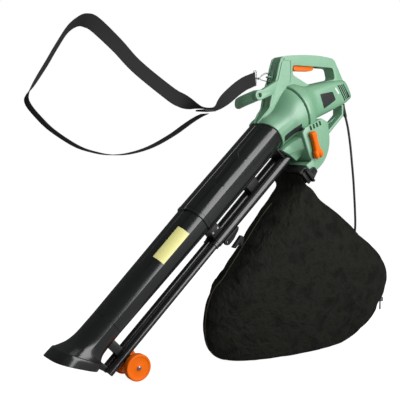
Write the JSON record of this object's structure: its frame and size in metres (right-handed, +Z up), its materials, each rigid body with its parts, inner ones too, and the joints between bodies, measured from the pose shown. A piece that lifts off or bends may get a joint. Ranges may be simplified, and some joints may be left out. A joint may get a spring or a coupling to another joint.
{
  "type": "leaf blower vacuum",
  "caption": "Hand-held electric leaf blower and vacuum with a split suction tube, twin blower tubes, wheels, collecting bag, shoulder strap and short mains lead.",
  "frame": {"origin": "middle of the main grip, where the hand carries the machine", "axes": "+Z up, -X towards the nozzle, +Y across the machine to its far side, with the selector lever on the -Y side"},
  "size_m": [1.2019, 0.2222, 0.9121],
  "materials": {
    "bag_fabric": "black woven fabric",
    "black_plastic": "satin moulded black plastic",
    "bright_steel": "plated steel",
    "carbon": null,
    "copper_winding": null,
    "cord_rubber": "black rubber",
    "green_plastic": "satin moulded green plastic",
    "motor_iron": "laminated iron",
    "orange_plastic": "moulded orange plastic",
    "strap_webbing": "black woven webbing"
  },
  "bodies": {
    "machine": {"axle_cap_far": "bright_steel", "axle_cap_near": "bright_steel", "bag": "bag_fabric", "bag_clip": "black_plastic", "bag_frame": "black_plastic", "bag_lug": "black_plastic", "carbon_brush_lower": "carbon", "carbon_brush_upper": "carbon", "front_bearing": "bright_steel", "front_grip": "green_plastic", "front_handle_arm": "green_plastic", "grip_screw": "bright_steel", "housing_far": "green_plastic", "housing_near": "green_plastic", "joint_bridge": "black_plastic", "latch_pin": "bright_steel", "lower_blower_tube_far": "black_plastic", "lower_blower_tube_near": "black_plastic", "lower_suction_tube": "black_plastic", "mid_bridge": "black_plastic", "motor_bulkhead": "black_plastic", "motor_stator": "motor_iron", "nozzle": "black_plastic", "plug_body": "cord_rubber", "plug_pin_far": "bright_steel", "plug_pin_near": "bright_steel", "port_bridge": "black_plastic", "power_cord": "cord_rubber", "rear_bearing": "bright_steel", "snap_hook": "bright_steel", "strain_relief": "cord_rubber", "strap_end_loop": "bright_steel", "strap_eyelet": "green_plastic", "strap_slider": "black_plastic", "strap_webbing": "strap_webbing", "trigger_pin": "bright_steel", "trigger_switch": "black_plastic", "upper_blower_tube_far": "black_plastic", "upper_blower_tube_near": "black_plastic", "upper_suction_tube": "black_plastic", "wheel_axle": "bright_steel", "zip_slider": "bright_steel"},
    "trigger_lever": {"trigger": "orange_plastic"},
    "selector": {"selector_lever": "orange_plastic", "diverter_shaft": "bright_steel", "diverter_flap": "black_plastic"},
    "rotor": {"armature_core": "copper_winding", "motor_shaft": "bright_steel", "commutator": "copper_winding", "motor_impeller": "black_plastic", "impeller_nut": "bright_steel"},
    "near_wheel": {"wheel_near": "orange_plastic"},
    "far_wheel": {"wheel_far": "orange_plastic"},
    "hook_gate": {"snap_gate": "bright_steel"},
    "latch": {"bag_latch": "black_plastic"},
    "zip_tab": {"zip_pull": "bright_steel"}
  },
  "joints": [
    {"name": "trigger_squeeze", "type": "hinge", "parent": "machine", "child": "trigger_lever", "pos_m": [-0.06, 0, 0.001], "axis": [0, -1, 0], "range_deg": [0, 8], "stiffness_Nm_per_rad": 0.2, "springref_deg": -20.05},
    {"name": "selector_turn", "type": "hinge", "parent": "machine", "child": "selector", "pos_m": [-0.036, 0, -0.268], "axis": [0, 1, 0], "range_deg": [0, 85]},
    {"name": "motor_spin", "type": "hinge", "parent": "machine", "child": "rotor", "pos_m": [-0.076, 0, -0.149], "axis": [0.9225, 0, 0.3859], "continuous": true},
    {"name": "near_wheel_roll", "type": "hinge", "parent": "machine", "child": "near_wheel", "pos_m": [-0.59139, -0.038, -0.81132], "axis": [0, 1, 0], "continuous": true},
    {"name": "far_wheel_roll", "type": "hinge", "parent": "machine", "child": "far_wheel", "pos_m": [-0.59139, 0.038, -0.81132], "axis": [0, 1, 0], "continuous": true},
    {"name": "hook_gate_swing", "type": "hinge", "parent": "machine", "child": "hook_gate", "pos_m": [-0.1735, 0.008, -0.058], "axis": [0, -1, 0], "range_deg": [0, 12], "stiffness_Nm_per_rad": 0.002, "springref_deg": -22.92},
    {"name": "latch_swing", "type": "hinge", "parent": "machine", "child": "latch", "pos_m": [-0.06058, -0.0848, -0.32898], "axis": [0.6909, 0, -0.723], "range_deg": [0, 35], "stiffness_Nm_per_rad": 0.02, "springref_deg": -17.19},
    {"name": "zip_tab_swing", "type": "hinge", "parent": "machine", "child": "zip_tab", "pos_m": [0.31, -0.019, -0.745], "axis": [1, 0, 0], "range_deg": [-40, 40]}
  ]
}
